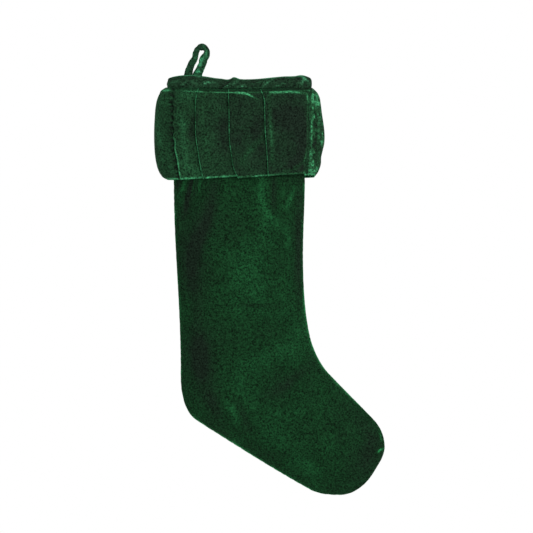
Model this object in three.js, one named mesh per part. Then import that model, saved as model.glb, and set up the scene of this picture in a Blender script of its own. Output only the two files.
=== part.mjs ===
// A hanging Christmas stocking: a velvet leg and foot with a satin lining, a bound rim, a knife-pleated
// cuff that hangs free from the rim, and a strap loop that the whole stocking hangs from.
//
// Millimetres. +Z is up the leg, +X points to the toe side and -Y is the front face. The origin is the
// point under the top of the hanging loop where a hook bears. The rim, leg and cuff are drawn about
// their own seam plane, and their group is then moved forward of the strap.
//
// Every piece of cloth is its own closed solid. The front and back panels meet edge to edge along the
// seam, the threads run in the space between the layers, and touching layers keep a small gap.

import * as THREE from "three";

// ---- driving dimensions -------------------------------------------------------------------------

const CENTRE_X = 45; // middle of the rim, measured from the hook point towards the toe
const GAP = 0.35; // space between two pieces of cloth that lie on each other

const VELVET = 1.4; // cloth thicknesses
const SATIN = 0.6;
const THREAD_RADIUS = 0.4;

const LEG_TOP = -37; // height of the panels' top edge, inside the rim binding
const LEG_FLARE = 84; // half width of the leg at its top edge
const LEG_HALF = 78; // half width of the leg below the cuff
const SHELL_RISE = 15.2; // how far each panel bellies out from the seam plane
const PILLOW_REACH = 46; // distance from the seam over which a panel rises to its full belly
const SHELL_SEAM_GAP = 0.55; // distance of a shell panel's edge from the seam plane
const LINING_INSET = 4.8; // how far the lining lies inside the seam line
const LINING_RISE = 13.6;
const SHELL_STITCHES = 2.7; // distance from a panel's edge to the stitches that close it
const LINING_STITCHES = 3.7;
const FAN_START = 294; // arc length down each edge where the rows start to fan round the heel

const RIM_HALF = 82.4; // half width of the rim's middle line
const RIM_DEPTH = 15; // how far the rim's middle line opens from the seam plane
const RIM_TOP = -30.5; // height of the rim at its ends
const RIM_SAG = 3; // how far the rim hangs lower in its middle
const RIM_HEIGHT = 14.8; // height of the binding
const BINDING = 1.1; // cloth thickness of the binding
const BINDING_OUT = 4.3; // distance of the binding's outer wall from the rim's middle line
const BINDING_IN = 5; // and of its inner wall

const HEM_HEEL = -153.6; // height of the cuff's hem on the heel side
const HEM_TOE = -149.4; // and on the toe side
const CUFF_CENTRE_X = 43.8;
const CUFF_REACH = 50; // distance from the cuff's side edge over which it opens to its full depth
const CUFF_CLOTH = 1.1;
const CUFF_SEAM_HEEL = -31.8; // where the pleated front is sewn to the plain back
const CUFF_SEAM_TOE = 126;
const PLEATS = [ // the folded edge of each knife pleat: where it starts at the top and where it ends at the hem
  { top: -6.4, hem: 0.2 },
  { top: 32, hem: 42.5 },
  { top: 73.5, hem: 80 },
];
const PLEAT_LAP = 9; // how far each pleat runs on under the next one
const LAYER = 1.5; // distance from one folded layer to the next
const FACING_INSET = 2.6; // how far the cuff's facing lies inside the cuff

const STRAP_THICK = 3; // the hanging loop's strap
const STRAP_BEHIND = 4.2; // how far the strap hangs behind the stocking's seam plane
const LOOP_ROOT = -26; // height of the line where the strap folds
const TACK_HEIGHT = -43; // height of the bar tack that holds the strap's ends
const TAILS_BOTTOM = -54;

// ---- materials ----------------------------------------------------------------------------------

const velvet = new THREE.MeshStandardMaterial({ color: 0x173a22, roughness: 0.9, metalness: 0 });
const satin = new THREE.MeshStandardMaterial({ color: 0x1d4a2c, roughness: 0.45, metalness: 0 });
const thread = new THREE.MeshStandardMaterial({ color: 0x12301c, roughness: 0.7, metalness: 0 });

// ---- building closed solids ---------------------------------------------------------------------

const point = (x, y, z) => new THREE.Vector3(x, y, z);

// A geometry from a flat list of triangles' corners, turned round if its faces point inwards.
function closedGeometry(corners) {
  let volume = 0;
  for (let i = 0; i < corners.length; i += 3) {
    volume += corners[i].dot(point(0, 0, 0).crossVectors(corners[i + 1], corners[i + 2]));
  }
  if (volume < 0) corners.reverse();
  return new THREE.BufferGeometry().setFromPoints(corners);
}

function addQuad(corners, a, b, c, d) {
  corners.push(a, b, c, a, c, d);
}

// The unit normal of a grid of points at row i, column j, from the neighbours on each side.
function gridNormal(grid, i, j, ring) {
  const last = grid[i].length - 1;
  const left = ring ? (j + last) % (last + 1) : Math.max(j - 1, 0);
  const right = ring ? (j + 1) % (last + 1) : Math.min(j + 1, last);
  const along = grid[Math.min(i + 1, grid.length - 1)][j].clone().sub(grid[Math.max(i - 1, 0)][j]);
  const across = grid[i][right].clone().sub(grid[i][left]);
  return along.cross(across).normalize();
}

// A piece of cloth: the grid is its middle surface, rows by columns. A ring joins its last column to its first.
function cloth(grid, thickness, ring = false) {
  const side = (sign) =>
    grid.map((row, i) =>
      row.map((p, j) => p.clone().addScaledVector(gridNormal(grid, i, j, ring), (sign * thickness) / 2)),
    );
  const [face, back] = [side(1), side(-1)];
  const rows = grid.length;
  const cols = grid[0].length;
  const corners = [];
  for (let j = 0; j < (ring ? cols : cols - 1); j++) {
    const k = (j + 1) % cols;
    for (let i = 0; i < rows - 1; i++) {
      addQuad(corners, face[i][j], face[i + 1][j], face[i + 1][k], face[i][k]);
      addQuad(corners, back[i][k], back[i + 1][k], back[i + 1][j], back[i][j]);
    }
    addQuad(corners, back[0][j], face[0][j], face[0][k], back[0][k]);
    addQuad(corners, face[rows - 1][j], back[rows - 1][j], back[rows - 1][k], face[rows - 1][k]);
  }
  for (const [j, turned] of ring ? [] : [[0, false], [cols - 1, true]]) {
    for (let i = 0; i < rows - 1; i++) {
      const edge = [face[i][j], back[i][j], back[i + 1][j], face[i + 1][j]];
      addQuad(corners, ...(turned ? edge.reverse() : edge));
    }
  }
  return closedGeometry(corners);
}

// A solid through a row of closed sections. Its two ends are capped, unless it runs round into itself.
function loft(sections, ring = false) {
  const n = sections[0].length;
  const corners = [];
  const spans = ring ? sections.length : sections.length - 1;
  for (let i = 0; i < spans; i++) {
    const [here, next] = [sections[i], sections[(i + 1) % sections.length]];
    for (let j = 0; j < n; j++) {
      addQuad(corners, here[j], next[j], next[(j + 1) % n], here[(j + 1) % n]);
    }
  }
  for (const end of ring ? [] : [sections[0], [...sections[sections.length - 1]].reverse()]) {
    for (let j = 1; j < n - 1; j++) {
      corners.push(end[0], end[j], end[j + 1]);
    }
  }
  return closedGeometry(corners);
}

// A thread: a thin square-section tube along a list of points.
function threadAlong(points, ring = false) {
  const last = points.length - 1;
  const sections = points.map((p, i) => {
    const before = ring ? points[(i + last) % (last + 1)] : points[Math.max(i - 1, 0)];
    const after = ring ? points[(i + 1) % (last + 1)] : points[Math.min(i + 1, last)];
    const along = after.clone().sub(before).normalize();
    const helper = Math.abs(along.y) < 0.8 ? point(0, 1, 0) : point(0, 0, 1);
    const u = helper.clone().cross(along).normalize().multiplyScalar(THREAD_RADIUS);
    const v = along.clone().cross(u);
    return [u, v, u.clone().negate(), v.clone().negate()].map((w) => p.clone().add(w));
  });
  return loft(sections, ring);
}

const range = (count, make) => Array.from({ length: count }, (_, i) => make(i / (count - 1), i));

// ---- the stocking's outline ---------------------------------------------------------------------

// An edge of the pattern, from the rim to the toe, as a chain of curves. Each span is the two control
// points and the end point of a cubic curve, in X and Z.
function patternEdge(start, spans) {
  const path = new THREE.CurvePath();
  let from = new THREE.Vector2(...start);
  for (const [a, b, end] of spans) {
    const to = new THREE.Vector2(...end);
    path.add(new THREE.CubicBezierCurve(from, new THREE.Vector2(...a), new THREE.Vector2(...b), to));
    from = to;
  }
  return path;
}

const LEG_HEEL_X = CENTRE_X - LEG_HALF;
const LEG_TOE_X = CENTRE_X + LEG_HALF;
const TOE_TIP = [209, -501];

const heelEdge = patternEdge([CENTRE_X - LEG_FLARE, LEG_TOP], [
  [[CENTRE_X - LEG_FLARE, -75], [LEG_HEEL_X - 0.6, -115], [LEG_HEEL_X - 0.6, -155]],
  [[LEG_HEEL_X - 0.6, -240], [-25.2, -300], [-25.2, -390]], // back of the leg
  [[-25.2, -418], [-18, -437], [-5, -444.5]], // heel
  [[38, -472.5], [90, -505], [131, -527.5]], // sole
  [[141, -532.5], [153, -533.6], [165, -533.6]], // under the toe
  [[184, -533.6], [200, -519], TOE_TIP],
]);
const toeEdge = patternEdge([CENTRE_X + LEG_FLARE, LEG_TOP], [
  [[CENTRE_X + LEG_FLARE, -75], [LEG_TOE_X, -115], [LEG_TOE_X, -155]],
  [[LEG_TOE_X, -185], [120.8, -215], [120.8, -245]], // front of the leg
  [[120.8, -290], [124, -322], [129.5, -345]],
  [[134, -362], [142, -378], [152, -388.5]], // instep bend
  [[170, -407.5], [188, -425], [205, -443]], // top of the foot
  [[213, -451.5], [219, -462], [219, -476]], // round the toe
  [[219, -485], [214.5, -493], TOE_TIP],
]);

// A point of an edge, moved inwards by inset. turn is 1 on the heel edge and -1 on the toe edge.
function edgePoint(edge, turn, share, inset) {
  const p = edge.getPointAt(share);
  const t = edge.getTangentAt(share);
  return new THREE.Vector2(p.x - turn * t.y * inset, p.y + turn * t.x * inset);
}

// How far along an edge a row lies: rows start level, and beyond FAN_START they fan round the heel.
const LEVEL_ROWS = 0.42;
const LAST_ROW = 0.985;
function rowShare(edge, v) {
  const total = edge.getLength();
  const length =
    v < LEVEL_ROWS
      ? (v / LEVEL_ROWS) * FAN_START
      : FAN_START + ((v - LEVEL_ROWS) / (1 - LEVEL_ROWS)) * (total * LAST_ROW - FAN_START);
  return length / total;
}

// The seam line of a layer as a chain of points, from the rim round the toe and back up to the rim.
function seamLine(inset, steps = 150) {
  const heel = range(steps, (s) => edgePoint(heelEdge, 1, s, inset));
  const toe = range(steps, (s) => edgePoint(toeEdge, -1, 1 - s, inset));
  return [...heel, ...toe.slice(1)];
}

function distanceTo(line, p) {
  let least = Infinity;
  for (let i = 0; i < line.length - 1; i++) {
    const span = line[i + 1].clone().sub(line[i]);
    const share = THREE.MathUtils.clamp(p.clone().sub(line[i]).dot(span) / span.lengthSq(), 0, 1);
    least = Math.min(least, p.distanceTo(line[i].clone().addScaledVector(span, share)));
  }
  return least;
}

// A rounded rise from 0 at an edge to 1 at the given reach.
const rounded = (distance, reach) => Math.sqrt(1 - (1 - Math.min(distance / reach, 1)) ** 2);

// A pillow-shaped panel. side is -1 for the front and 1 for the back.
function panel({ side, inset, rise, seamGap, thickness, rows, cols }) {
  const line = seamLine(inset);
  const grid = range(rows, (v) => {
    const heel = edgePoint(heelEdge, 1, rowShare(heelEdge, v), inset);
    const toe = edgePoint(toeEdge, -1, rowShare(toeEdge, v), inset);
    return range(cols, (w) => {
      const p = heel.clone().lerp(toe, (1 - Math.cos(Math.PI * w)) / 2);
      return point(p.x, side * (seamGap + rise * rounded(distanceTo(line, p), PILLOW_REACH)), p.y);
    });
  });
  return cloth(grid, thickness);
}

const shellPanel = (side) =>
  panel({ side, inset: 0, rise: SHELL_RISE, seamGap: SHELL_SEAM_GAP, thickness: VELVET, rows: 30, cols: 13 });
const liningPanel = (side) =>
  panel({ side, inset: LINING_INSET, rise: LINING_RISE, seamGap: GAP, thickness: SATIN, rows: 20, cols: 9 });

// The thread that closes a seam, wavering from side to side of the seam plane like its stitches.
function seamThread(inset, stitches) {
  const line = new THREE.SplineCurve(seamLine(inset, 60));
  return threadAlong(
    range(stitches, (s, i) => {
      const p = line.getPointAt(0.015 + 0.97 * s);
      return point(p.x, i % 2 ? 0.3 : -0.3, p.y);
    }),
  );
}

// ---- the bound rim ------------------------------------------------------------------------------

// A point on a lens-shaped ring: angle 0 is its toe end, pi its heel end, and the front lies between them.
function ringPoint(angle, { centre, half, depth, reach }) {
  const x = half * Math.cos(angle);
  return new THREE.Vector2(centre + x, -Math.sign(Math.sin(angle)) * depth * rounded(half - Math.abs(x), reach));
}

function ringNormal(angle, ring) {
  const step = 1e-3;
  const along = ringPoint(angle + step, ring).sub(ringPoint(angle - step, ring)).normalize();
  return new THREE.Vector2(-along.y, along.x);
}

const RIM = { centre: CENTRE_X, half: RIM_HALF, depth: RIM_DEPTH, reach: 44 };

const rimTop = (x) => RIM_TOP - RIM_SAG * Math.max(0, 1 - ((x - CENTRE_X) / RIM_HALF) ** 2);

// A point at a distance outside the rim's middle line and a height below its top.
function rimPoint(angle, out, down) {
  const p = ringPoint(angle, RIM).addScaledVector(ringNormal(angle, RIM), out);
  return point(p.x, p.y, rimTop(p.x) - down);
}

const RIM_STATIONS = 54;
const stationAngle = (i, count) => ((i + 0.5) / count) * 2 * Math.PI;

// The binding's section is an arch over the edge: down the outside, and back up inside its own thickness.
function rimBinding() {
  const arch = (out, inner, top, turns) =>
    range(turns, (s) => {
      const a = Math.PI * s;
      const middle = (out - inner) / 2;
      return [middle + ((out + inner) / 2) * Math.cos(a), top + 3.2 * (1 - Math.sin(a))];
    });
  const t = BINDING / 2;
  const section = [
    [BINDING_OUT + t, RIM_HEIGHT],
    ...arch(BINDING_OUT + t, BINDING_IN + t, 0, 7),
    [-BINDING_IN - t, RIM_HEIGHT],
    [-BINDING_IN + t, RIM_HEIGHT],
    ...arch(BINDING_OUT - t, BINDING_IN - t, BINDING, 5).reverse(),
    [BINDING_OUT - t, RIM_HEIGHT],
  ];
  const sections = Array.from({ length: RIM_STATIONS }, (_, i) =>
    section.map(([out, down]) => rimPoint(stationAngle(i, RIM_STATIONS), out, down)),
  );
  return loft(sections, true);
}

// The row of stitches that holds the binding's outer wall to the leg, inside the binding.
function rimStitching() {
  const out = BINDING_OUT - BINDING / 2 - GAP - THREAD_RADIUS;
  return threadAlong(
    Array.from({ length: 48 }, (_, i) => rimPoint(stationAngle(i, 48), out, RIM_HEIGHT - (i % 2 ? 2.6 : 1.8))),
    true,
  );
}

// ---- the cuff -----------------------------------------------------------------------------------

// The cuff's half width and half depth, from its top edge (0) to its hem (1).
const cuffHalf = new THREE.SplineCurve(
  [[0, 89], [0.04, 93.5], [0.15, 97.2], [0.45, 101.2], [0.62, 101.2], [0.85, 98], [1, 93.5]].map(
    (p) => new THREE.Vector2(...p),
  ),
);
const cuffDepth = new THREE.SplineCurve(
  [[0, 20], [0.04, 22.2], [0.15, 24.6], [0.4, 26], [0.65, 26], [0.85, 25], [1, 23]].map(
    (p) => new THREE.Vector2(...p),
  ),
);

// A spline's height over the given x. Its points have rising x, so halving the interval finds it.
function heightAt(spline, x) {
  let [low, high] = [0, 1];
  for (let i = 0; i < 40; i++) {
    const middle = (low + high) / 2;
    if (spline.getPoint(middle).x < x) low = middle;
    else high = middle;
  }
  return spline.getPoint(low).y;
}

// The cuff's rows: the height down from the top edge, as a share. The two level rows at FLAT_ROWS have
// the same depth, so the back of the cuff is flat between them.
const CUFF_ROWS = [0, 0.04, 0.15, 0.4, 0.65, 0.85, 1];

function cuffRing(share, inset) {
  return {
    centre: CUFF_CENTRE_X,
    half: heightAt(cuffHalf, share) - inset,
    depth: heightAt(cuffDepth, share) - inset,
    reach: CUFF_REACH,
  };
}

function cuffHeight(x, share) {
  const across = (x - (CUFF_CENTRE_X - 100)) / 200;
  return THREE.MathUtils.lerp(rimTop(x) - RIM_HEIGHT - 0.9, HEM_HEEL + (HEM_TOE - HEM_HEEL) * across, share);
}

// A point of the cuff's front at x, lifted off the ring by a number of millimetres.
function cuffFront(x, share, lift, inset = 0) {
  const ring = cuffRing(share, inset);
  const y = -ring.depth * rounded(ring.half - Math.abs(x - ring.centre), ring.reach) - lift;
  return point(x, y, cuffHeight(x, share));
}

// The path of the pleated cloth at one height, seen from above, as [x, lift]. Each panel slopes down to the next fold
// and runs on under it, turns back to the fold, and turns again to become the next panel.
function pleatPath(share) {
  const folds = PLEATS.map(({ top, hem }) => THREE.MathUtils.lerp(top, hem, share));
  const path = [];
  const turn = (x, lift, side) =>
    [-0.5, 0, 0.5].map((a) => [x + (side * LAYER * Math.cos(a * Math.PI)) / 2, lift + (LAYER * Math.sin(a * Math.PI)) / 2]);
  const starts = [CUFF_SEAM_HEEL + GAP, ...folds];
  const ends = [...folds, CUFF_SEAM_TOE - GAP];
  starts.forEach((start, i) => {
    const top = i ? 2 * LAYER : 0.6 * LAYER;
    const last = i === starts.length - 1;
    const width = ends[i] - start;
    for (const s of last ? [0.08, 0.3, 0.55, 0.8, 1] : [0.08, 0.3, 0.55, 0.8]) {
      path.push([start + s * width, top * (1 + Math.cos(Math.PI * s)) * 0.5]);
    }
    if (last) return;
    path.push([ends[i] - 1, 0], [ends[i] + PLEAT_LAP * 0.5, 0]);
    path.push(...turn(ends[i] + PLEAT_LAP, LAYER / 2, 1));
    path.push([ends[i] + PLEAT_LAP * 0.5, LAYER]);
    path.push(...turn(ends[i], LAYER * 1.5, -1));
  });
  return path;
}

function cuffPleats() {
  const row = (share) => pleatPath(share).map(([x, lift]) => cuffFront(x, share, lift));
  return cloth(CUFF_ROWS.map(row), CUFF_CLOTH);
}

// A row that runs from the heel-side seam round the back to the toe-side seam.
function cuffBackRow(share, inset, cols, margin) {
  const ring = cuffRing(share, inset);
  const from = Math.acos((CUFF_SEAM_HEEL - margin - ring.centre) / ring.half);
  const to = 2 * Math.PI + Math.acos((CUFF_SEAM_TOE + margin - ring.centre) / ring.half);
  return range(cols, (w) => {
    const p = ringPoint(from + (to - from) * w, ring);
    return point(p.x, p.y, cuffHeight(p.x, share));
  });
}

const FACING_ROWS = [0.02, 0.15, 0.5, 0.8, 0.975];

const cuffBack = () => cloth(CUFF_ROWS.map((share) => cuffBackRow(share, 0, 43, GAP)), CUFF_CLOTH);

const cuffBackFacing = () =>
  cloth(FACING_ROWS.map((share) => cuffBackRow(share, FACING_INSET, 31, GAP)), SATIN);

function cuffFrontFacing() {
  const width = CUFF_SEAM_TOE - CUFF_SEAM_HEEL - 2 * GAP;
  const row = (share) =>
    range(15, (w) => cuffFront(CUFF_SEAM_HEEL + GAP + width * w, share, 0, FACING_INSET));
  return cloth(FACING_ROWS.map(row), SATIN);
}

// The threads of the cuff run halfway between the velvet and its facing.
const THREAD_INSET = FACING_INSET / 2 + 0.1;
const HEM_STITCH = 0.95; // height of the hem's stitches, as a share of the cuff

function cuffFrontHemThread() {
  const [from, to] = [CUFF_SEAM_HEEL + 4, CUFF_SEAM_TOE - 4];
  return threadAlong(range(24, (w) => cuffFront(from + (to - from) * w, HEM_STITCH, 0, THREAD_INSET)));
}

const cuffBackHemThread = () => threadAlong(cuffBackRow(HEM_STITCH, THREAD_INSET, 37, 4));

const cuffSeamThread = (x) => threadAlong(range(12, (s) => cuffFront(x, 0.05 + 0.83 * s, 0, THREAD_INSET)));

// ---- the hanging loop ---------------------------------------------------------------------------

// Middle line of the strap in X and Z from its heel-side root over the hook to its toe-side root, and
// the strap's width at each of those points.
const STRAP_LINE = [
  [-16.9, LOOP_ROOT, 7.6],
  [-13.7, -17.4, 7.4],
  [-9.7, -9, 6.8],
  [-8.2, -0.5, 6.4],
  [-5.6, 4.6, 7],
  [0, 5, 8.4],
  [5.6, 2.3, 7],
  [5.6, -3, 6.8],
  [3, -9.5, 7.2],
  [-1.2, -18, 7.6],
  [-3.9, LOOP_ROOT, 7.8],
];

// A flat oval section of the strap, with its width laid along the across direction.
function strapSection(centre, across, width, thick) {
  return [0, 1, 2, 3, 4, 5, 6, 7].map((i) => {
    const a = ((i + 0.5) / 8) * 2 * Math.PI;
    const squared = (v) => Math.sign(v) * Math.abs(v) ** 0.6;
    return centre
      .clone()
      .addScaledVector(across, (width / 2) * squared(Math.cos(a)))
      .add(point(0, (thick / 2) * squared(Math.sin(a)), 0));
  });
}

// The strap ends in half-round knuckles on the fold line, so that it can turn on it without touching its tails.
function hangingLoop() {
  const line = new THREE.CatmullRomCurve3(STRAP_LINE.map(([x, z]) => point(x, 0, z)));
  const width = new THREE.CatmullRomCurve3(STRAP_LINE.map(([, , w]) => point(w, 0, 0)));
  const steps = 34;
  const sections = range(steps, (s) => {
    const along = line.getTangent(s);
    const level = Math.max(0, 1 - Math.min(s, 1 - s) * 9); // 1 at the roots, where the sections lie level
    const up = s < 0.5 ? 1 : -1;
    const across = point(along.z, 0, -along.x).lerp(point(up, 0, 0), level).normalize();
    return strapSection(line.getPoint(s), across, width.getPoint(s).x, STRAP_THICK);
  });
  const knuckle = (x, w, up) =>
    [0.35, 0.7, 0.95].map((share) => {
      const drop = (STRAP_THICK / 2) * share;
      const thick = STRAP_THICK * Math.sqrt(1 - share ** 2);
      return strapSection(point(x, 0, LOOP_ROOT - drop), point(up, 0, 0), w, thick);
    });
  const [first, last] = [STRAP_LINE[0], STRAP_LINE[STRAP_LINE.length - 1]];
  return loft([
    ...knuckle(first[0], first[2], 1).reverse(),
    ...sections,
    ...knuckle(last[0], last[2], -1),
  ]);
}

// The strap's two ends, laid side by side and stitched together inside the rim.
function loopTails() {
  const top = LOOP_ROOT - STRAP_THICK / 2 - GAP;
  const shape = new THREE.Shape();
  shape.moveTo(-20.6, top);
  shape.lineTo(-13.2, top);
  shape.quadraticCurveTo(-11.5, top - 9, -10.4, top - 9);
  shape.quadraticCurveTo(-9.3, top - 9, -7.8, top);
  shape.lineTo(0, top);
  shape.lineTo(-3.8, TAILS_BOTTOM + 2);
  shape.quadraticCurveTo(-4, TAILS_BOTTOM, -6, TAILS_BOTTOM);
  shape.lineTo(-16, TAILS_BOTTOM);
  shape.quadraticCurveTo(-18, TAILS_BOTTOM, -18.2, TAILS_BOTTOM + 2);
  const options = { depth: STRAP_THICK, bevelEnabled: false, curveSegments: 4 };
  return new THREE.ExtrudeGeometry(shape, options)
    .rotateX(Math.PI / 2)
    .translate(0, STRAP_THICK / 2, 0);
}

// The bar tack: close zigzag stitches across both ends of the strap.
function loopBarTack() {
  const y = -STRAP_THICK / 2 - GAP - THREAD_RADIUS;
  return threadAlong(range(17, (s, i) => point(-16.5 + 11.5 * s, y, TACK_HEIGHT + (i % 2 ? 1.5 : -1.5))));
}

// ---- the assembly -------------------------------------------------------------------------------

function piece(name, geometry, material) {
  const mesh = new THREE.Mesh(geometry, material);
  mesh.name = name;
  return mesh;
}

function group(...pieces) {
  return new THREE.Group().add(...pieces);
}

const strap = group(
  piece("hanging_loop", hangingLoop(), velvet),
  piece("loop_tails", loopTails(), velvet),
  piece("loop_bar_tack", loopBarTack(), thread),
);

const rim = group(
  piece("rim_binding", rimBinding(), velvet),
  piece("rim_stitching", rimStitching(), thread),
);

const leg = group(
  piece("leg_front_panel", shellPanel(-1), velvet),
  piece("leg_back_panel", shellPanel(1), velvet),
  piece("leg_seam_thread", seamThread(SHELL_STITCHES, 131), thread),
  piece("lining_front_panel", liningPanel(-1), satin),
  piece("lining_back_panel", liningPanel(1), satin),
  piece("lining_seam_thread", seamThread(LINING_INSET + LINING_STITCHES, 111), thread),
);

const cuff = group(
  piece("cuff_front_pleats", cuffPleats(), velvet),
  piece("cuff_front_facing", cuffFrontFacing(), satin),
  piece("cuff_front_hem_thread", cuffFrontHemThread(), thread),
  piece("cuff_back_panel", cuffBack(), velvet),
  piece("cuff_back_facing", cuffBackFacing(), satin),
  piece("cuff_back_hem_thread", cuffBackHemThread(), thread),
  piece("cuff_heel_seam_thread", cuffSeamThread(CUFF_SEAM_HEEL - 1), thread),
  piece("cuff_toe_seam_thread", cuffSeamThread(CUFF_SEAM_TOE + 1), thread),
);

const stocking = group(rim, leg, cuff);
stocking.position.y = -STRAP_BEHIND;

export default group(strap, stocking);
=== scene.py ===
"""The looks of the hanging stocking: velvet leg, bound rim, pleated cuff, satin lining and strap loop.

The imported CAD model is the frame. Every piece is built as a grid of points in millimetres in the row
frame, and then made into a thin closed mesh in metres. "along" is towards the toe and "down" is down
the leg, both measured from the top corner on the heel side of a CAD node's box.
"""

import math

import bpy
import numpy as np
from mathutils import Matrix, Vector


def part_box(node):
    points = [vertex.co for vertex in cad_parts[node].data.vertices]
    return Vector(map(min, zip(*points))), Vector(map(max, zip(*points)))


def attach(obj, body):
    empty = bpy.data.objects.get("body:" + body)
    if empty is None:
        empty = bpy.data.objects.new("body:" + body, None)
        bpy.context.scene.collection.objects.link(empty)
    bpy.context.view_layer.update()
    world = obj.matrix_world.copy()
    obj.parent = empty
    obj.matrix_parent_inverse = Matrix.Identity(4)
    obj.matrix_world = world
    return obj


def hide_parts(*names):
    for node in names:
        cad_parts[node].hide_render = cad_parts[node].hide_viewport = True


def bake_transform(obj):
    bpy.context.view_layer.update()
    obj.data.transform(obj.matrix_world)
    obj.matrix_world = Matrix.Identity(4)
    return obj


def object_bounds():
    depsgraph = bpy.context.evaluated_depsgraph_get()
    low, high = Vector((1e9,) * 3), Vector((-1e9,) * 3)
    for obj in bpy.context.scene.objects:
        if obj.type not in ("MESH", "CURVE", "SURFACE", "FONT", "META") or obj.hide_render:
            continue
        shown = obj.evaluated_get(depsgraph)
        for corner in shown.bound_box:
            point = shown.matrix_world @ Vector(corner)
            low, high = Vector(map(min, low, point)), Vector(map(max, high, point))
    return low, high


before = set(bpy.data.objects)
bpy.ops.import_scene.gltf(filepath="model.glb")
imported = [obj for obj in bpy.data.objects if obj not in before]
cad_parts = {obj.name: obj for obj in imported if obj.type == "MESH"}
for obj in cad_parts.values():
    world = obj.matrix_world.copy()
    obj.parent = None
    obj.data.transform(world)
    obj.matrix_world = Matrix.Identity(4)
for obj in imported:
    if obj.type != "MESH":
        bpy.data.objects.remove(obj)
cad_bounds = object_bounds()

MM = 0.001


def box_mm(node):
    low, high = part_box(node)
    return np.array(low) / MM, np.array(high) / MM


LEG_LOW, LEG_HIGH = box_mm("leg_front_panel")
CUFF_LOW, CUFF_HIGH = box_mm("cuff_back_panel")
RIM_LOW, RIM_HIGH = box_mm("rim_binding")

SEAM_Y = (LEG_HIGH[1] + box_mm("leg_back_panel")[0][1]) / 2  # the plane of the leg's seam
VELVET = 1.3  # the thicknesses of the cloths
CUFF_CLOTH = 1.1
SATIN = 0.5

# ---- numbers over grids --------------------------------------------------------------------------


def through(points, at):
    """A smooth curve through (position, value) pairs, read at the given positions."""
    x, y = np.array(points, float).T
    slope = np.gradient(y, x)
    i = np.clip(np.searchsorted(x, at) - 1, 0, len(x) - 2)
    step = x[i + 1] - x[i]
    t = np.clip((at - x[i]) / step, 0, 1)
    value = (1 + 2 * t) * (1 - t) ** 2 * y[i] + t * t * (3 - 2 * t) * y[i + 1]
    return value + t * (1 - t) ** 2 * step * slope[i] + t * t * (t - 1) * step * slope[i + 1]


def noise(u, v, cell, seed):
    """Smooth random values from -1 to 1 over a plane, with features about cell across."""
    lattice = np.random.default_rng(seed).uniform(-1, 1, (128, 128))
    x, y = np.asarray(u) / cell + 64, np.asarray(v) / cell + 64
    i, j = np.floor(x).astype(int), np.floor(y).astype(int)
    s, t = x - i, y - j
    s, t = s * s * (3 - 2 * s), t * t * (3 - 2 * t)
    corner = [[lattice[(i + a) % 128, (j + b) % 128] for b in (0, 1)] for a in (0, 1)]
    near = corner[0][0] * (1 - t) + corner[0][1] * t
    far = corner[1][0] * (1 - t) + corner[1][1] * t
    return near * (1 - s) + far * s


def rounded(distance, reach):
    """A rounded rise from 0 at an edge to 1 at the given reach."""
    return np.sqrt(1 - (1 - np.clip(distance / reach, 0, 1)) ** 2)


def bell(distance, width):
    """A smooth bump of height 1 that has faded to about a third at one width from its middle."""
    return np.exp(-((distance / width) ** 2))


def path_distance(path, u, v):
    """For every point: its distance to a path, and where along the path it lies, from 0 to 1."""
    path = np.array(path, float)
    lengths = np.hypot(*(path[1:] - path[:-1]).T)
    starts = np.concatenate([[0], np.cumsum(lengths)])
    least = np.full(np.shape(u), 1e9)
    along = np.zeros(np.shape(u))
    for a, b, start, length in zip(path[:-1], path[1:], starts, lengths):
        span = b - a
        share = np.clip(((u - a[0]) * span[0] + (v - a[1]) * span[1]) / length**2, 0, 1)
        away = np.hypot(u - a[0] - share * span[0], v - a[1] - share * span[1])
        nearer = away < least
        least = np.where(nearer, away, least)
        along = np.where(nearer, (start + share * length) / starts[-1], along)
    return least, along


def strokes(marks, u, v):
    """Ridges and furrows with the painted highlights and painted shade on them, and broader lighter and
    darker areas: each mark is (path, width, height in mm, shade), and it fades towards its ends. Returns
    the summed height and shade at every point."""
    height, shade = np.zeros(np.shape(u)), np.zeros(np.shape(u))
    for path, width, rise, tone in marks:
        away, share = path_distance(path, u, v)
        amount = bell(away, width) * np.sin(np.pi * np.clip(share, 0.04, 0.96)) ** 0.7
        height += rise * amount
        shade += tone * amount
    return height, shade


def normals(points):
    cross = np.cross(np.gradient(points, axis=0), np.gradient(points, axis=1))
    return cross / np.maximum(np.linalg.norm(cross, axis=2, keepdims=True), 1e-9)


# ---- meshes --------------------------------------------------------------------------------------


def make_object(name, points, faces, shade, material):
    """A smooth mesh in metres from points in millimetres, with its painted light and shade and random
    tone as an attribute.
    """
    mesh = bpy.data.meshes.new(name)
    mesh.from_pydata((points * MM).tolist(), [], faces)
    mesh.polygons.foreach_set("use_smooth", np.ones(len(mesh.polygons), bool))
    tone_and_painted_light = mesh.attributes.new("tone_and_painted_light", "FLOAT", "POINT")
    tone_and_painted_light.data.foreach_set("value", np.asarray(shade, np.float32))
    mesh.materials.append(material)
    mesh.update()
    obj = bpy.data.objects.new(name, mesh)
    bpy.context.scene.collection.objects.link(obj)
    return obj


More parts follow.
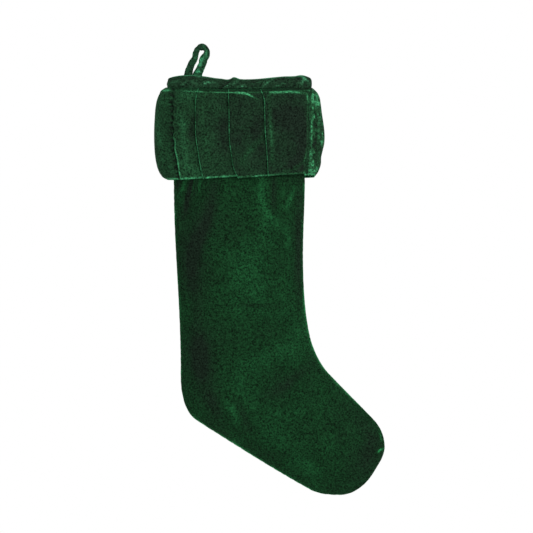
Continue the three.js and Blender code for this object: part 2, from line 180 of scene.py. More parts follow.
def cloth(name, points, thickness, material, shade=0.0):
    """A thin closed piece of cloth around a grid of points, rows by columns."""
    rows, cols = points.shape[:2]
    offset = normals(points) * thickness / 2
    both = np.concatenate([(points + offset).reshape(-1, 3), (points - offset).reshape(-1, 3)])
    index = np.arange(rows * cols).reshape(rows, cols)
    back = index + rows * cols
    quads = [
        np.stack([index[:-1, :-1], index[1:, :-1], index[1:, 1:], index[:-1, 1:]], -1).reshape(-1, 4),
        np.stack([back[:-1, 1:], back[1:, 1:], back[1:, :-1], back[:-1, :-1]], -1).reshape(-1, 4),
        np.stack([back[0, :-1], index[0, :-1], index[0, 1:], back[0, 1:]], -1),
        np.stack([index[-1, :-1], back[-1, :-1], back[-1, 1:], index[-1, 1:]], -1),
        np.stack([index[:-1, 0], back[:-1, 0], back[1:, 0], index[1:, 0]], -1),
        np.stack([index[1:, -1], back[1:, -1], back[:-1, -1], index[:-1, -1]], -1),
    ]
    tone = np.broadcast_to(shade, (rows, cols)).reshape(-1)
    return make_object(name, both, np.concatenate(quads).tolist(), np.tile(tone, 2), material)


def skin(name, sections, material, ring=False, shade=0.0):
    """A closed solid through closed sections, run round into itself or capped at both ends."""
    count, around = sections.shape[:2]
    index = np.arange(count * around).reshape(count, around)
    wrapped = np.concatenate([index, index[:, :1]], axis=1)
    if ring:
        wrapped = np.concatenate([wrapped, wrapped[:1]], axis=0)
    quads = np.stack([wrapped[:-1, :-1], wrapped[1:, :-1], wrapped[1:, 1:], wrapped[:-1, 1:]], -1)
    faces = quads.reshape(-1, 4).tolist()
    if not ring:
        faces += [index[0].tolist(), index[-1, ::-1].tolist()]
    tone = np.broadcast_to(shade, (count, around)).ravel()
    return make_object(name, sections.reshape(-1, 3), faces, tone, material)


STITCH_STEPS = 6  # sections along one stitch
THREAD_SIDES = 6


def stitches(name, path, length, gap, radius):
    """A row of short sunk stitches along a path of points, joined by their thread underneath."""
    path = np.array(path, float)
    steps = np.linalg.norm(np.diff(path, axis=0), axis=1)
    travel = np.concatenate([[0], np.cumsum(steps)])
    count = max(2, int(travel[-1] / (length + gap)))
    spread = np.linspace(0, travel[-1], count * STITCH_STEPS + 1)
    line = np.stack([np.interp(spread, travel, path[:, k]) for k in range(3)], 1)
    tangent = np.gradient(line, axis=0)
    tangent /= np.linalg.norm(tangent, axis=1, keepdims=True)
    side = np.cross(tangent, [0.0, 1.0, 0.0])
    side /= np.maximum(np.linalg.norm(side, axis=1, keepdims=True), 1e-6)
    up = np.cross(side, tangent)
    phase = (np.arange(len(line)) % STITCH_STEPS) / STITCH_STEPS
    girth = radius * (0.45 + 0.55 * np.sin(np.pi * phase) ** 0.5)
    angles = np.arange(THREAD_SIDES) / THREAD_SIDES * 2 * math.pi
    around = np.cos(angles)[None, :, None] * side[:, None] + np.sin(angles)[None, :, None] * up[:, None]
    return skin(name, line[:, None] + around * girth[:, None, None], THREAD)


# ---- materials -----------------------------------------------------------------------------------


class Nodes:
    """Short names for the few shader nodes that the materials are made of."""

    def __init__(self, name):
        self.material = bpy.data.materials.new(name)
        self.material.use_nodes = True
        self.tree = self.material.node_tree
        self.bsdf = self.tree.nodes["Principled BSDF"]
        self.where = self.tree.nodes.new("ShaderNodeTexCoord").outputs["Object"]

    def node(self, kind, **settings):
        made = self.tree.nodes.new(kind)
        for key, value in settings.items():
            setattr(made, key, value)
        return made

    def link(self, value, socket):
        if isinstance(value, bpy.types.NodeSocket):
            self.tree.links.new(value, socket)
        else:
            socket.default_value = value

    def noise(self, size, detail=3.0, rough=0.5, stretch=(1, 1, 1), twist=0.0):
        """Noise from 0 to 1 with features about size metres across."""
        mapping = self.node("ShaderNodeMapping")
        self.link(self.where, mapping.inputs["Vector"])
        mapping.inputs["Scale"].default_value = [1 / (size * s) for s in stretch]
        texture = self.node("ShaderNodeTexNoise")
        self.link(mapping.outputs["Vector"], texture.inputs["Vector"])
        texture.inputs["Scale"].default_value = 1
        texture.inputs["Detail"].default_value = detail
        texture.inputs["Roughness"].default_value = rough
        texture.inputs["Distortion"].default_value = twist
        return texture.outputs["Fac"]

    def math(self, operation, a, b=0.0, clamp=False):
        made = self.node("ShaderNodeMath", operation=operation, use_clamp=clamp)
        self.link(a, made.inputs[0])
        self.link(b, made.inputs[1])
        return made.outputs[0]

    def span(self, value, low, high, to_low=0.0, to_high=1.0):
        """value moved from low..high to to_low..to_high, and held between them."""
        made = self.node("ShaderNodeMapRange", clamp=True)
        for socket, number in zip(range(5), (value, low, high, to_low, to_high)):
            self.link(number, made.inputs[socket])
        return made.outputs["Result"]

    def mix(self, share, a, b):
        made = self.node("ShaderNodeMix", data_type="RGBA")
        self.link(share, made.inputs["Factor"])
        self.link(a, made.inputs["A"])
        self.link(b, made.inputs["B"])
        return made.outputs["Result"]

    def ramp(self, value, stops):
        made = self.node("ShaderNodeValToRGB")
        elements = made.color_ramp.elements
        while len(elements) < len(stops):
            elements.new(0.5)
        for element, (position, colour) in zip(elements, stops):
            element.position = position
            element.color = (*colour, 1)
        self.link(value, made.inputs["Fac"])
        return made.outputs["Color"]

    def bump(self, height, distance, strength=1.0, under=None):
        made = self.node("ShaderNodeBump")
        made.inputs["Strength"].default_value = strength
        made.inputs["Distance"].default_value = distance
        self.link(height, made.inputs["Height"])
        if under:
            self.link(under, made.inputs["Normal"])
        return made.outputs["Normal"]

    def attribute(self, name):
        return self.node("ShaderNodeAttribute", attribute_name=name).outputs["Fac"]


def velvet(name, middle, crush, dark=(0.80, 0.42, 0.62)):
    """Short-pile velvet: random lighter and darker areas with the painted highlights and painted shade of
    its attribute laid over them, a fine speckle of pile, and a sheen at its edges.

    middle is the colour of upright pile, crush how patchy its random areas are, and dark how much of each
    colour is left at the dark end of the ramp, where the painted shade and the darkest random patches
    fall."""
    n = Nodes(name)
    tone_shift = n.noise(0.06, 2, 0.5, stretch=(1, 1, 1.6), twist=0.6)
    patchy = n.noise(0.013, 3, 0.6, twist=0.4)
    speckle = n.noise(0.0020, 2, 0.75)
    pile = n.noise(0.0007, 1, 0.5)
    tone_and_painted_light = n.math("MULTIPLY", n.math("SUBTRACT", tone_shift, 0.5), 0.55)
    tone_and_painted_light = n.math("ADD", tone_and_painted_light, n.math("MULTIPLY", n.math("SUBTRACT", patchy, 0.5), crush * 1.3))
    # The mesh's painted highlights, painted shade and random tone are added to the random areas here.
    tone_and_painted_light = n.math("ADD", tone_and_painted_light, n.math("MULTIPLY", n.attribute("tone_and_painted_light"), 0.42))
    tone_and_painted_light = n.math("ADD", tone_and_painted_light, 0.45, clamp=True)
    # The ramp runs from dark, for painted shade and the darkest random patches, to light and brightest,
    # for painted highlights, painted glints and the lightest patches.
    light, brightest = (1.9, 2.2, 2.2), (5.0, 6.5, 7.0)
    shades = ((0.0, dark), (0.45, (1, 1, 1)), (0.72, light), (1.0, brightest))
    base = n.ramp(tone_and_painted_light, [(at, [m * f for m, f in zip(middle, shade)]) for at, shade in shades])
    grain = n.math("ADD", n.span(speckle, 0.33, 0.67, 0.17, 1.95), n.span(pile, 0.3, 0.7, -0.25, 0.25))
    colour = n.node("ShaderNodeVectorMath", operation="SCALE")
    n.link(base, colour.inputs[0])
    n.link(grain, colour.inputs["Scale"])
    n.link(colour.outputs[0], n.bsdf.inputs["Base Color"])
    n.link(n.span(speckle, 0.2, 0.8, 0.95, 0.75), n.bsdf.inputs["Roughness"])
    folds = n.bump(patchy, 0.004, 0.3)
    tufts = n.bump(speckle, 0.001, 0.4, under=folds)
    n.link(n.bump(pile, 0.0005, 0.5, under=tufts), n.bsdf.inputs["Normal"])
    n.bsdf.inputs["Specular IOR Level"].default_value = 0.04
    n.bsdf.inputs["Sheen Weight"].default_value = 0.12
    n.bsdf.inputs["Sheen Roughness"].default_value = 0.3
    n.bsdf.inputs["Sheen Tint"].default_value = (0.03, 0.55, 0.18, 1)
    return n.material


def satin(name):
    n = Nodes(name)
    ribs = n.noise(0.0011, 1, 0.5, stretch=(1, 1, 12))
    broad = n.noise(0.03, 2, 0.5)
    base = n.mix(n.span(broad, 0.3, 0.7), (0.008, 0.042, 0.018, 1), (0.018, 0.080, 0.036, 1))
    n.link(base, n.bsdf.inputs["Base Color"])
    n.link(n.span(ribs, 0.3, 0.7, 0.3, 0.42), n.bsdf.inputs["Roughness"])
    n.link(n.bump(ribs, 0.0002, 0.4), n.bsdf.inputs["Normal"])
    n.bsdf.inputs["Anisotropic"].default_value = 0.5
    return n.material


def thread_material(name):
    n = Nodes(name)
    twist = n.noise(0.0006, 2, 0.6, stretch=(1, 1, 3))
    n.link(n.mix(twist, (0.004, 0.020, 0.009, 1), (0.020, 0.085, 0.040, 1)), n.bsdf.inputs["Base Color"])
    n.link(n.span(twist, 0.3, 0.7, 0.45, 0.7), n.bsdf.inputs["Roughness"])
    n.link(n.bump(twist, 0.0003, 0.6), n.bsdf.inputs["Normal"])
    return n.material


def floor_material(name):
    n = Nodes(name)
    cloud = n.noise(0.4, 3, 0.5)
    n.link(n.mix(cloud, (0.80, 0.80, 0.79, 1), (0.86, 0.86, 0.85, 1)), n.bsdf.inputs["Base Color"])
    n.link(n.span(n.noise(0.003, 2), 0.3, 0.7, 0.75, 0.9), n.bsdf.inputs["Roughness"])
    return n.material


LEG_VELVET = velvet("leg_velvet", (0.0022, 0.0160, 0.0048), 0.2, dark=(1.35, 0.48, 0.86))
CUFF_VELVET = velvet("cuff_velvet", (0.0046, 0.0205, 0.0080), 0.4)
BINDING_VELVET = velvet("binding_velvet", (0.0054, 0.0190, 0.0086), 0.45)
STRAP_VELVET = velvet("strap_velvet", (0.0064, 0.0290, 0.0124), 0.6)
SATIN_LINING = satin("lining_satin")
THREAD = thread_material("sewing_thread")

# ---- leg and lining ------------------------------------------------------------------------------


def chain(start, spans, steps=60):
    """A line through a chain of cubic curves, each given as two control points and an end point."""
    line, from_point = [np.array([start], float)], np.array(start, float)
    t = np.linspace(0, 1, steps + 1)[1:, None]
    for a, b, end in np.array(spans, float):
        curve = (1 - t) ** 3 * from_point + 3 * t * (1 - t) ** 2 * a
        line.append(curve + 3 * t * t * (1 - t) * b + t**3 * end)
        from_point = end
    return np.concatenate(line)


TOE_TIP = (248.6, 464)
HEEL_EDGE = chain(
    (0.6, 0),
    [
        ((0.6, 38), (6, 78), (6, 118)),
        ((6, 203), (14.4, 263), (14.4, 353)),  # back of the leg
        ((14.4, 381), (21.6, 400), (34.6, 407.5)),  # heel
        ((77.6, 435.5), (129.6, 468), (170.6, 490.5)),  # sole
        ((180.6, 495.5), (192.6, 496.6), (204.6, 496.6)),
        ((223.6, 496.6), (239.6, 482), TOE_TIP),
    ],
)
TOE_EDGE = chain(
    (168.6, 0),
    [
        ((168.6, 38), (162.6, 78), (162.6, 118)),
        ((162.6, 148), (160.4, 178), (160.4, 208)),  # front of the leg
        ((160.4, 253), (163.6, 285), (169.1, 308)),
        ((173.6, 325), (181.6, 341), (191.6, 351.5)),  # instep bend
        ((209.6, 370.5), (227.6, 388), (244.6, 406)),  # top of the foot
        ((252.6, 414.5), (258.6, 425), (258.6, 439)),  # round the toe
        ((258.6, 448), (254.1, 456), TOE_TIP),
    ],
)


def inset_edge(edge, inset, turn):
    tangent = np.gradient(edge, axis=0)
    tangent /= np.linalg.norm(tangent, axis=1, keepdims=True)
    return edge + turn * inset * np.stack([tangent[:, 1], -tangent[:, 0]], 1)


def edge_rows(edge, rows, fan_start=294, level=0.42, last=0.994):
    """Points down an edge: level rows at first, which then fan round the heel towards the toe."""
    steps = np.hypot(*np.diff(edge, axis=0).T)
    travel = np.concatenate([[0], np.cumsum(steps)])
    v = np.linspace(0, 1, rows)
    far = fan_start + (v - level) / (1 - level) * (travel[-1] * last - fan_start)
    at = np.where(v < level, v / level * fan_start, far)
    return np.stack([np.interp(at, travel, edge[:, k]) for k in (0, 1)], 1)


def pillow(side, inset, rise, seam_gap, rows, cols):
    """A leg-shaped grid that bellies out from the seam plane. side is -1 for the front."""
    heel, toe = inset_edge(HEEL_EDGE, inset, 1), inset_edge(TOE_EDGE, inset, -1)
    left, right = edge_rows(heel, rows), edge_rows(toe, rows)
    share = (1 - np.cos(np.pi * np.linspace(0, 1, cols))) / 2
    flat = left[:, None] + (right - left)[:, None] * share[None, :, None]
    seam = np.concatenate([heel, toe[::-1]])[::4]
    away, _ = path_distance(seam, flat[..., 0], flat[..., 1])
    y = SEAM_Y + side * (seam_gap + rise * rounded(away, 46))
    return np.stack([LEG_LOW[0] + flat[..., 0], y, LEG_HIGH[2] - flat[..., 1]], -1)


def finer(points):
    """The same surface with a point between each two, on a smooth curve through its neighbours."""
    for axis in (0, 1):
        p = np.moveaxis(points, axis, 0)
        before = np.concatenate([2 * p[:1] - p[1:2], p[:-2]])
        after = np.concatenate([p[2:], 2 * p[-1:] - p[-2:-1]])
        middle = (9 * (p[:-1] + p[1:]) - before - after) / 16
        made = np.empty((2 * len(p) - 1, *p.shape[1:]))
        made[::2], made[1::2] = p, middle
        points = np.moveaxis(made, 0, axis)
    return points


def settled(points, held, slack, side, frames=26):
    """The same cloth, cut larger than its frame by the slack, after it has puckered and settled."""
    rows, cols = points.shape[:2]
    index = np.arange(rows * cols).reshape(rows, cols)
    quads = np.stack([index[:-1, :-1], index[1:, :-1], index[1:, 1:], index[:-1, 1:]], -1)
    mesh = bpy.data.meshes.new("settling")
    mesh.from_pydata((points.reshape(-1, 3) * MM).tolist(), [], quads.reshape(-1, 4).tolist())
    obj = bpy.data.objects.new("settling", mesh)
    bpy.context.scene.collection.objects.link(obj)
    obj.vertex_groups.new(name="held").add(index[held].tolist(), 1.0, "REPLACE")
    settings = obj.modifiers.new("cloth", "CLOTH").settings
    settings.quality = 6
    settings.mass = 0.2
    settings.tension_stiffness = 25
    settings.compression_stiffness = 25
    settings.shear_stiffness = 8
    settings.bending_stiffness = 0.6
    settings.air_damping = 6
    settings.vertex_group_mass = "held"
    settings.shrink_min = -slack
    settings.use_pressure = True
    settings.uniform_pressure_force = -1.5 * side
    settings.effector_weights.gravity = 0
    for number in range(1, frames + 1):
        bpy.context.scene.frame_set(number)
    shape = obj.evaluated_get(bpy.context.evaluated_depsgraph_get())
    flat = np.empty(rows * cols * 3, np.float32)
    shape.data.vertices.foreach_get("co", flat)
    bpy.context.scene.frame_set(1)
    bpy.data.objects.remove(obj)
    bpy.data.meshes.remove(mesh)
    moved = flat.reshape(rows, cols, 3) / MM - points
    outward = np.clip(moved[..., 1] * side, -0.4, 4.0)
    return points + np.stack([0.3 * moved[..., 0], outward * side, 0.3 * moved[..., 2]], -1)


# Folds and broader areas of the leg's front, with painted shade in the furrows, under the cuff and over
# the darker areas and painted highlights on the ridges: path (along, down), width, height, shade.
LEG_FRONT_MARKS = [
    ([(33, 96), (27, 126), (18, 162)], 3.6, -2.2, -1.9),
    ([(20, 98), (13, 118), (6, 134)], 3.0, -1.4, -1.3),
    ([(33, 104), (29, 128), (24, 148)], 1.1, 0.9, 2.0),
    ([(36, 100), (37, 120), (36, 138)], 1.3, 0.7, 1.1),
    ([(22, 112), (17, 126), (12, 140)], 1.4, 0.8, 0.6),
    ([(58, 92), (52, 140), (44, 172), (31, 200), (27, 245)], 8.5, -1.1, -1.0),
    ([(110, 96), (110, 138), (114, 154), (122, 166), (140, 176)], 4.2, 1.2, 0.5),
    ([(126, 94), (126, 130), (125, 166)], 4.2, -1.1, -0.9),
    ([(151, 122), (147, 138), (139, 154)], 2.8, 1.0, 0.7),
    ([(138, 176), (143, 186), (141, 204)], 3.4, 0.7, 0.35),
    ([(158, 120), (156, 160), (155, 230), (157, 285)], 5.5, -0.7, -0.8),
    ([(68, 268), (96, 269), (144, 270)], 2.2, -0.6, -0.4),
    ([(22, 250), (20, 280), (24, 312)], 7, 0.5, 0.4),
    ([(36, 300), (38, 340), (46, 366)], 11, -1.0, -0.8),
    ([(26, 130), (24, 220), (28, 300), (38, 370), (66, 426)], 17, -0.3, -0.6),
    ([(150, 318), (120, 334), (92, 350)], 15, 1.4, 0.4),
    ([(166, 340), (142, 364), (118, 380)], 7, -1.4, -0.7),
    ([(84, 385), (90, 402), (97, 426)], 6, -0.9, -0.7),
    ([(62, 384), (74, 392), (88, 410)], 4.5, 0.8, 0.5),
    ([(40, 368), (52, 384), (64, 408)], 7, -0.7, -0.5),
    ([(222, 392), (246, 430), (232, 478)], 12, -0.8, -0.8),
    ([(204, 410), (222, 440), (220, 474)], 16, -0.2, -0.35),
    ([(144, 448), (166, 462), (190, 472)], 7, 0.5, 0.3),
    ([(249, 448), (253, 443), (259, 440)], 1.5, 1.0, 1.9),
    ([(252, 422), (254, 427), (255, 434)], 1.2, 0.8, 1.4),
    ([(90, 150), (94, 220), (96, 300)], 26, 0.8, 0.2),
]
# The same for the leg's back, with painted shade in its furrows and painted highlights on its ridges.
LEG_BACK_MARKS = [
    ([(30, 112), (24, 150), (14, 190)], 5, -1.6, -0.5),
    ([(140, 118), (146, 150), (156, 180)], 5, -1.4, -0.4),
    ([(150, 312), (110, 340), (70, 372)], 14, 1.5, 0.3),
    ([(60, 180), (66, 250), (60, 320)], 20, 0.8, 0.3),
    ([(190, 372), (150, 410), (120, 440)], 12, -1.2, -0.4),
]


CLOTH_SLACK = 0.03  # how much larger than its frame the leg's cloth is cut
HELD_ROWS = 28  # rows under the rim and the cuff that stay in place
FOLDS_START = 95  # how far down the folds below the cuff begin
SOLE_START = 390
LINING_ROOM = 1.3  # the furrows stay shallower than this, so that the lining never shows


def leg_panel(name, node, side, marks):
    base = pillow(side, 0, 15.2, 0.75, 181, 57)
    held = np.zeros(base.shape[:2], bool)
    held[:HELD_ROWS], held[-1], held[:, 0], held[:, -1] = True, True, True, True
    points = finer(settled(base, held, CLOTH_SLACK, side))
    u, v = points[..., 0] - LEG_LOW[0], LEG_HIGH[2] - points[..., 2]
    columns = np.arange(points.shape[1])
    from_seam = np.minimum(columns, columns[::-1])
    below_cuff = np.clip((v - FOLDS_START) / 30, 0, 1)
    height, shade = strokes(marks, u, v)
    height += 0.5 * noise(u, v, 26, 3) + 0.25 * noise(u, v, 11, 4)
    height = np.where(height < 0, LINING_ROOM * np.tanh(height / LINING_ROOM), height)
    points[..., 1] += side * height * below_cuff * np.clip(from_seam / 8, 0, 1)[None, :]
    sole = np.clip((v - SOLE_START) / 40, 0, 1) * (columns < len(columns) / 2)
    # seam_light is a painted highlight along the panel's rounded seam edges, stronger round the heel and
    # sole.
    seam_light = bell(from_seam, 6.5)[None, :] * (1.1 + 1.0 * sole + 0.7 * noise(u, v, 9, 5))
    shade = (shade * below_cuff + seam_light)[:, :: -side]
    obj = cloth(name, points[:, :: -side], VELVET, LEG_VELVET, shade=shade)
    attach(obj, "stocking")
    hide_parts(node)


def lining_panel(name, node, side):
    points = finer(pillow(side, 4.8, 13.0, 0.5, 91, 29))
    obj = cloth(name, points[:, :: -side], SATIN, SATIN_LINING)
    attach(obj, "stocking")
    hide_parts(node)


def seam_path(inset):
    heel, toe = inset_edge(HEEL_EDGE, inset, 1), inset_edge(TOE_EDGE, inset, -1)
    line = np.concatenate([heel[6:], toe[6:][::-1]])[::2]
    return [(LEG_LOW[0] + a, SEAM_Y, LEG_HIGH[2] - d) for a, d in line]


def leg_and_lining():
    leg_panel("leg_front", "leg_front_panel", -1, LEG_FRONT_MARKS)
    leg_panel("leg_back", "leg_back_panel", 1, LEG_BACK_MARKS)
    lining_panel("lining_front", "lining_front_panel", -1)
    lining_panel("lining_back", "lining_back_panel", 1)
    for name, node, inset in (
        ("leg_seam_stitches", "leg_seam_thread", 2.6),
        ("lining_seam_stitches", "lining_seam_thread", 8.5),
    ):
        obj = stitches(name, seam_path(inset), 2.6, 0.6, 0.35)
        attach(obj, "stocking")
        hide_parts(node)


# ---- rim binding ---------------------------------------------------------------------------------

RIM_CENTRE = (RIM_LOW[0] + RIM_HIGH[0]) / 2
RIM_HALF = (RIM_HIGH[0] - RIM_LOW[0]) / 2 - 4.85
RIM_DEPTH = (RIM_HIGH[1] - RIM_LOW[1]) / 2 - 4.85

# Height of the front's top edge below the box's top, by distance from the heel side, and of the back's.
RIM_FRONT_EDGE = [(0, 3), (6, 0.8), (12, -0.4), (40, -0.2), (64, 3.0), (76, 3.3), (79, 1.6), (88, 3.6)]
RIM_FRONT_EDGE += [(100, 3.8), (128, 1.5), (140, 0.4), (154, -0.2), (161, -1.4), (168, 0.2), (174, 3)]
RIM_BACK_EDGE = [(0, 3), (10, 0.6), (50, 2), (90, 3.4), (130, 2), (164, 0.4), (174, 3)]

# Diagonal creases of the binding's outside, with painted shade in the sunken ones and painted highlights
# on the raised ones and at the toe-side corner: path (along, down), width, height, shade.
RIM_MARKS = [
    ([(62, 15), (70, 8), (76, 2)], 1.7, -1.2, -0.6),
    ([(72, 15), (80, 8), (88, 1)], 2.0, 0.8, 0.4),
    ([(88, 15), (94, 11), (104, 9)], 1.6, -1.0, -0.6),
    ([(96, 14), (104, 8), (116, 4)], 1.8, -0.9, -0.4),
    ([(112, 16), (118, 9), (128, 2)], 1.8, 0.8, 0.5),
    ([(20, 12), (26, 8), (30, 1)], 1.6, -0.8, -0.5),
    ([(40, 14), (46, 8), (56, 3)], 1.8, 0.6, 0.3),
    ([(140, 14), (146, 8), (158, 3)], 1.8, -0.7, -0.4),
    ([(158, 12), (161, 7), (160, 2)], 1.6, 1.0, 0.7),
    ([(163, 14), (165, 9), (165, 3)], 1.3, -1.0, -0.6),
    ([(4, 10), (10, 7), (20, 6)], 1.6, 0.7, 0.4),
    ([(66, 14), (72, 9), (79, 4)], 1.1, 0.9, 1.0),
    ([(84, 13), (92, 10), (100, 12)], 1.1, 0.8, 1.0),
    ([(98, 9), (108, 5), (122, 4)], 1.1, 0.6, 0.7),
    ([(16, 13), (24, 9), (34, 5)], 1.1, 0.6, 0.7),
    ([(40, 12), (50, 7), (60, 5)], 1.1, 0.5, 0.6),
    ([(128, 13), (138, 9), (150, 7)], 1.1, 0.5, 0.6),
    ([(158, 1), (165, 5), (166, 11)], 1.8, 0.6, 1.3),
]


def rim_line(stations=520, reach=44):
    """The lens-shaped ring that the binding follows: its points in x and y, and the way out from each."""
    angle = (np.arange(stations) + 0.5) / stations * 2 * np.pi
    x = RIM_HALF * np.cos(angle)
    y = -np.sign(np.sin(angle)) * RIM_DEPTH * rounded(RIM_HALF - np.abs(x), reach)
    line = np.stack([RIM_CENTRE + x, y], 1)
    along = np.roll(line, -1, 0) - np.roll(line, 1, 0)
    outward = np.stack([along[:, 1], -along[:, 0]], 1)
    outward /= np.linalg.norm(outward, axis=1, keepdims=True)
    outward *= np.sign(np.sum(outward * (line - [RIM_CENTRE, 0]), 1, keepdims=True))
    return line, outward


BINDING_OUT = 4.3  # how far the binding's outside and inside stand from the ring
BINDING_ROLL = 4.4  # half width and height of its rolled top
BINDING_RISE = 3.0


def binding_section():
    """The folded strip's section, as (distance out from the ring, distance down from the top)."""
    out = BINDING_OUT
    outside = [(out - 2.0, 16.4), (out - 1.2, 15.2), (out - 0.3, 14.4), (out + 0.25, 13)]
    outside += [(out + 0.8 * math.sin(math.pi * (13 - d) / 11), d) for d in (11, 9, 7, 5, 3.6)]
    arch = np.linspace(0, np.pi, 13)
    over = [(BINDING_ROLL * math.cos(a), BINDING_RISE * (1 - math.sin(a))) for a in arch]
    inside = [(-out - 0.2, 5), (-out - 0.1, 9), (-out, 14), (-3.4, 14.2)]
    hollow = [(-3.3, 9), (-3.3, 5), (-1.5, 2.6), (1.5, 2.6), (3.0, 5), (3.0, 9), (2.6, 13), (1.4, 15.6)]
    return np.array(outside + over + inside + hollow)


def rim_binding():
    line, outward = rim_line()
    u = line[:, :1] - RIM_LOW[0]
    front = line[:, 1:] < 0
    edge = np.where(front, through(RIM_FRONT_EDGE, u), through(RIM_BACK_EDGE, u))
    section = binding_section()
    out, down = section[:, 0][None], section[:, 1][None]
    outer = np.clip((out - 0.5) / 3, 0, 1)
    height, shade = strokes(RIM_MARKS, np.repeat(u, len(section), 1), np.repeat(down, len(line), 0))
    height = np.where(front, 1.3 * height, 0) + 0.5 * noise(u + 0.8 * down, down, 7, 8)
    height = height + 0.35 * noise(u - 0.6 * down, down + 50 * front, 3.2, 9)
    reach = out + height * outer
    x, y = line[:, :1] + outward[:, :1] * reach, SEAM_Y + line[:, 1:] + outward[:, 1:] * reach
    z = RIM_HIGH[2] - edge * np.clip(1.25 - down / 14, 0, 1) - down
    # The creases' painted highlights and painted shade on the outside, with some random tone.
    shade = np.where(front, 1.5 * shade, 0) * outer + 0.25 * outer * noise(u, down, 4, 11)
    # A painted highlight along the binding's rolled top.
    shade = shade + 1.2 * bell(down - 0.3, 0.9) * np.clip((out + 0.3) / 1.2, 0, 1)
    # Painted shade just below the roll.
    shade = shade - 0.35 * bell(down - 3.6, 2.0) * outer
    points = np.stack([x, y, z], -1)
    obj = skin("bound_rim", points, BINDING_VELVET, ring=True, shade=shade)
    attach(obj, "stocking")
    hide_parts("rim_binding")
    rim_stitches(line, outward, edge)


def rim_stitches(line, outward, edge, inset=1.6, drop=13.6):
    """The row of stitches between the binding and the leg, a drop below the rim's wavering edge."""
    x, y = line[:, 0] + inset * outward[:, 0], SEAM_Y + line[:, 1] + inset * outward[:, 1]
    row = np.stack([x, y, RIM_HIGH[2] - edge[:, 0] - drop], 1)[::4]
    obj = stitches("rim_stitches", row, 2.6, 0.8, 0.4)
    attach(obj, "stocking")
    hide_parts("rim_stitching")


# ---- cuff ----------------------------------------------------------------------------------------

# The cuff's outline on each side: (down, distance from the box's heel side).
CUFF_HEEL_SIDE = [(0, 13), (2.8, 8.6), (6.4, 6.8), (10, 5.0), (14, 3.6), (22, 2.0), (35, 0.9), (52, 0.2)]
CUFF_HEEL_SIDE += [(66, 0.4), (80, 1.4), (90, 3.2), (97, 5.4), (102, 8.2), (106, 12.0), (108, 16.5)]
CUFF_TOE_SIDE = [(0, 190), (2.8, 193.2), (6.4, 196.2), (10, 198.0), (20, 200.0), (30, 201.2), (42, 203)]
CUFF_TOE_SIDE += [(52, 204.2), (68, 204.0), (76, 202.2), (84, 200.4), (92, 200), (98, 198.4)]
CUFF_TOE_SIDE += [(104, 195.4), (108, 192)]
# Half of the cuff's depth at its middle: (down, depth).
CUFF_DEPTH = [(0, 17.2), (3, 21.2), (6, 23.4), (12, 25.0), (40, 26.2), (66, 26.2), (90, 25), (108, 22.6)]
CUFF_ROUND = 50  # how far in from its sides the cuff reaches its full depth
CUFF_DROP = 108  # its height
FRONT_DROP = 106  # and about that of its pleated front

# Lines down the cuff's front as (down, along): a side seam, three folds and the other side seam.
FRONT_LINES = [
    [(0, 24.6), (5, 23.0), (11, 24.8), (18, 22.5), (24, 24.6), (30, 22.3), (36, 24.4), (43, 22.3)]
    + [(50, 24.8), (57, 23.0), (64, 25.0), (72, 24.7), (80, 26.6), (100, 30), (108, 31.4)],
    [(0, 53.4), (10, 51.2), (38, 50.4), (58, 51), (74, 53.4), (86, 55.2), (104, 58.8), (108, 60)],
    [(0, 89.8), (32, 90.6), (62, 91.2), (80, 93.6), (98, 97.2), (106, 101)],
    [(0, 128.4), (5, 130.4), (11, 132.4), (28, 133.2), (50, 133.8), (74, 135.6), (108, 137.6)],
    [(0, 186.6), (38, 186), (70, 185.4), (82, 183.4), (100, 182), (108, 182)],
]
# Height of the hem, as a distance down, at the start and end of each panel of the front.
FRONT_HEMS = [(107.8, 106.0), (106.6, 103.8), (106.0, 103.2), (103.4, 100.2)]
PANEL_SHADES = (0.0, -0.3, -0.6, -0.7)  # painted shade: how much darker each panel of the front is painted, towards the toe side

# Creases and broader areas of the cuff's front, with painted highlights on the raised creases and painted
# shade in the sunken ones and over the darker areas: path (along, down), width, height, shade.
CUFF_FRONT_MARKS = [
    ([(58, 8), (66, 5), (80, 6)], 1.3, 0.5, 0.5),
    ([(28, 7), (38, 6), (48, 8)], 1.5, 0.6, 0.5),
    ([(90, 5), (104, 6), (112, 7), (124, 13)], 1.1, 1.2, 2.6),
    ([(135, 14), (140, 5.8), (160, 4.6), (182, 5.6), (186, 16)], 1.6, 0.8, 2.3),
    ([(52, 24), (44, 52), (49, 72)], 4.5, -1.0, -0.85),
    ([(86, 20), (84, 60), (90, 92)], 6, -1.0, -0.55),
    ([(128, 24), (122, 52), (132, 92)], 8, -1.0, -0.5),
    ([(176, 16), (180, 50), (176, 90)], 6, -0.6, -0.4),
    ([(60, 34), (66, 60), (64, 92)], 9, 0.8, 0.35),
    ([(36, 30), (34, 60), (40, 96)], 6, 0.7, 0.35),
    ([(72, 30), (78, 24), (84, 40)], 6, 0.5, 0.15),
    ([(102, 94), (112, 78), (133, 56)], 4, 0.9, 0.85),
    ([(104, 46), (100, 66), (106, 84)], 6, -0.7, -0.35),
    ([(140, 82), (150, 92), (164, 94)], 6, 0.6, 0.25),
    ([(142, 40), (158, 36), (172, 44)], 14, 0.4, -0.45),
    ([(150, 101), (168, 96.5), (179, 88), (183, 77)], 1.9, 0.9, 1.0),
    ([(158, 94), (170, 87), (176, 74)], 3.2, -0.9, -0.6),
    ([(138, 8), (139, 30), (141, 60), (142, 100)], 2.6, 0.4, 1.0),
]
